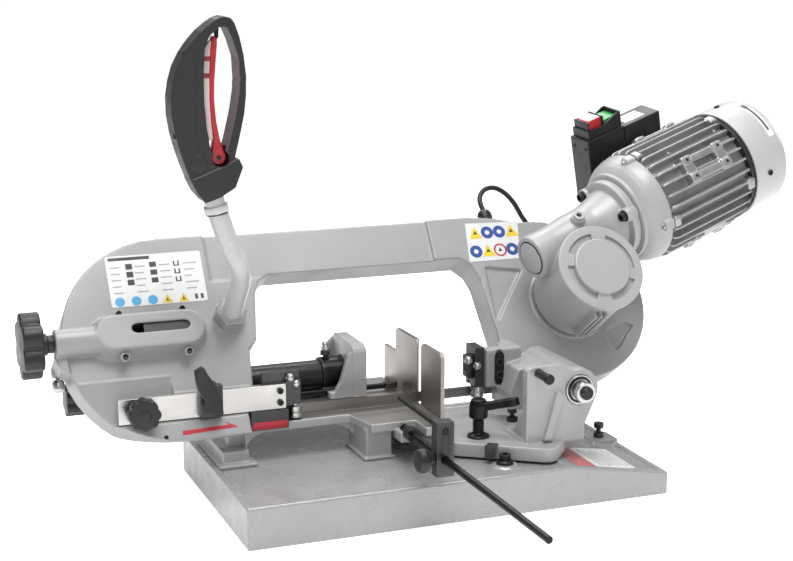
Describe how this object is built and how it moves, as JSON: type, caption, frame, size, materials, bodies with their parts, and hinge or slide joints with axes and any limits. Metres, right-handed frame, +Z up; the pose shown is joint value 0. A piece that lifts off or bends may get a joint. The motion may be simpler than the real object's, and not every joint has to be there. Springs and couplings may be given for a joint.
{
  "type": "band saw",
  "caption": "Horizontal metal-cutting band saw with a tilting, swivelling bow, worm-geared motor, quick vise and length stop on a tray base.",
  "frame": {"origin": "middle of the saw's bounding-box floor, on the bench", "axes": "+X along the blade to the motor end, +Y to the back, +Z up"},
  "size_m": [0.9736, 0.6026, 0.5455],
  "materials": {
    "black_plastic": "black moulded plastic, fine texture",
    "bronze": "machined bronze",
    "cable": "black rubber cable sheath",
    "cast_aluminium": "satin cast aluminium",
    "copper": "copper winding over laminated steel",
    "dark_steel": "black oxide steel, satin",
    "green_plastic": "glossy green plastic",
    "grey_paint": "hammered silver-grey paint on cast metal",
    "grey_plastic": "grey moulded plastic",
    "grip_rubber": "soft dark grey moulded plastic",
    "ground_steel": "ground flat steel, fine grain",
    "light_paint": "smooth light grey paint on cast metal",
    "red_plastic": "glossy red plastic",
    "steel": "bright brushed steel"
  },
  "bodies": {
    "stand": {"base_tray": "grey_paint", "vise_bed": "grey_paint", "fixed_jaw_rear": "ground_steel", "fixed_jaw_front": "ground_steel", "vise_guide_rod": "dark_steel", "stop_rod": "dark_steel", "mitre_stop_front": "dark_steel", "mitre_stop_rear": "dark_steel"},
    "vise_jaw": {"movable_jaw": "grey_paint", "vise_ram_tube": "dark_steel", "jaw_lock_stud": "steel"},
    "vise_screw": {"vise_screw": "dark_steel"},
    "length_stop": {"stop_block": "dark_steel", "stop_pin": "dark_steel"},
    "stop_knob": {"stop_knob": "black_plastic"},
    "swivel": {"swivel_arm": "grey_paint", "pivot_shaft": "steel", "pivot_bearing": "steel", "pivot_nut": "steel", "bracket_pin": "dark_steel", "down_stop_bolt": "dark_steel", "mitre_pointer": "dark_steel"},
    "mitre_lever": {"mitre_lock_lever": "dark_steel"},
    "bow": {"bow_frame": "grey_paint", "rear_cover": "grey_paint", "cover_screw": "steel", "blade": "ground_steel", "gearbox_housing": "light_paint", "gearbox_cover": "light_paint", "motor_stator": "copper", "motor_body": "cast_aluminium", "motor_end_bell": "light_paint", "motor_end_shield": "dark_steel", "fan_cover": "light_paint", "switch_box": "black_plastic", "switch_head": "black_plastic", "capacitor_box": "grey_plastic", "handle_tube": "steel", "handle_grip": "grip_rubber", "right_guide_block": "dark_steel", "guide_clamp_block": "dark_steel", "cable_gland": "black_plastic", "control_cable": "cable"},
    "drive_wheel": {"worm_wheel": "bronze", "drive_wheel": "cast_aluminium"},
    "rotor": {"worm_shaft": "steel", "motor_fan": "black_plastic"},
    "idler_slide": {"idler_slide": "dark_steel"},
    "idler_wheel": {"idler_wheel": "cast_aluminium"},
    "tension_knob": {"tension_knob": "black_plastic"},
    "guide_slide": {"guide_arm": "steel", "left_guide_block": "dark_steel", "blade_guard": "dark_steel"},
    "left_bearing": {"left_guide_bearing": "steel"},
    "right_bearing": {"right_guide_bearing": "steel"},
    "guide_knob": {"guide_knob": "black_plastic"},
    "clamp_lever": {"guide_clamp_lever": "black_plastic"},
    "trigger": {"trigger": "red_plastic"},
    "stop_button": {"stop_button": "red_plastic"},
    "start_button": {"start_button": "green_plastic"}
  },
  "joints": [
    {"name": "vise_slide", "type": "slide", "parent": "stand", "child": "vise_jaw", "axis": [1, 0, 0], "range_m": [-0.098, 0.049]},
    {"name": "vise_screw_turn", "type": "hinge", "parent": "vise_jaw", "child": "vise_screw", "pos_m": [-0.03977, 0.22173, 0.109], "axis": [-1, 0, 0], "range_deg": [-5881, 11761]},
    {"name": "length_stop_slide", "type": "slide", "parent": "stand", "child": "length_stop", "axis": [0, -1, 0], "range_m": [-0.045, 0.2]},
    {"name": "stop_knob_turn", "type": "hinge", "parent": "length_stop", "child": "stop_knob", "pos_m": [-0.07477, -0.04377, 0.08], "axis": [1, 0, 0], "range_deg": [0, 20]},
    {"name": "mitre_swivel", "type": "hinge", "parent": "stand", "child": "swivel", "pos_m": [-0.02977, 0.13773, 0.055], "axis": [0, 0, 1], "range_deg": [0, 58]},
    {"name": "mitre_lever_turn", "type": "hinge", "parent": "swivel", "child": "mitre_lever", "pos_m": [0.01323, 0.06073, 0.08], "axis": [0, 0, 1], "range_deg": [0, 20]},
    {"name": "bow_pivot", "type": "hinge", "parent": "swivel", "child": "bow", "pos_m": [0.11863, 0.02673, 0.121], "axis": [0, 1, 0], "range_deg": [0, 36]},
    {"name": "motor_spin", "type": "hinge", "parent": "bow", "child": "rotor", "pos_m": [0.16339, 0.15324, 0.2637], "axis": [0.9385, 0.1981, 0.2829], "continuous": true},
    {"name": "drive_wheel_spin", "type": "hinge", "parent": "bow", "child": "drive_wheel", "pos_m": [0.18273, 0.19191, 0.17247], "axis": [0, -0.8192, 0.5736], "continuous": true},
    {"name": "tension_slide", "type": "slide", "parent": "bow", "child": "idler_slide", "axis": [1, 0, 0], "range_m": [0, 0.0045]},
    {"name": "idler_wheel_spin", "type": "hinge", "parent": "idler_slide", "child": "idler_wheel", "pos_m": [-0.32477, 0.19191, 0.17247], "axis": [0, -0.8192, 0.5736], "continuous": true},
    {"name": "tension_knob_turn", "type": "hinge", "parent": "bow", "child": "tension_knob", "pos_m": [-0.46977, 0.1657, 0.19082], "axis": [-1, 0, 0], "range_deg": [0, 1081]},
    {"name": "guide_arm_slide", "type": "slide", "parent": "bow", "child": "guide_slide", "axis": [1, 0, 0], "range_m": [0, 0.04]},
    {"name": "left_bearing_spin", "type": "hinge", "parent": "guide_slide", "child": "left_bearing", "pos_m": [-0.18577, 0.12873, 0.095], "axis": [0, 0, 1], "continuous": true},
    {"name": "right_bearing_spin", "type": "hinge", "parent": "bow", "child": "right_bearing", "pos_m": [0.04123, 0.12873, 0.095], "axis": [0, 0, 1], "continuous": true},
    {"name": "guide_knob_turn", "type": "hinge", "parent": "guide_slide", "child": "guide_knob", "pos_m": [-0.36577, 0.10673, 0.119], "axis": [0, 1, 0], "range_deg": [0, 360]},
    {"name": "clamp_lever_turn", "type": "hinge", "parent": "bow", "child": "clamp_lever", "pos_m": [-0.28977, 0.10673, 0.12], "axis": [0, 1, 0], "range_deg": [0, 45]},
    {"name": "trigger_squeeze", "type": "hinge", "parent": "bow", "child": "trigger", "pos_m": [-0.27357, 0.11473, 0.395], "axis": [0, -1, 0], "range_deg": [0, 5], "stiffness_Nm_per_rad": 3},
    {"name": "stop_button_press", "type": "slide", "parent": "bow", "child": "stop_button", "axis": [0.2442, 0.1986, -0.9492], "range_m": [0, 0.003], "stiffness_N_per_m": 400},
    {"name": "start_button_press", "type": "slide", "parent": "bow", "child": "start_button", "axis": [0.2442, 0.1986, -0.9492], "range_m": [0, 0.0025], "stiffness_N_per_m": 400}
  ],
  "couplings": [
    {"joint": "vise_screw_turn", "follows": "vise_slide", "rad_per_m": -2094.4},
    {"joint": "drive_wheel_spin", "follows": "motor_spin", "ratio": 0.041667},
    {"joint": "idler_wheel_spin", "follows": "motor_spin", "ratio": 0.041667},
    {"joint": "tension_knob_turn", "follows": "tension_slide", "rad_per_m": 4188.8}
  ]
}
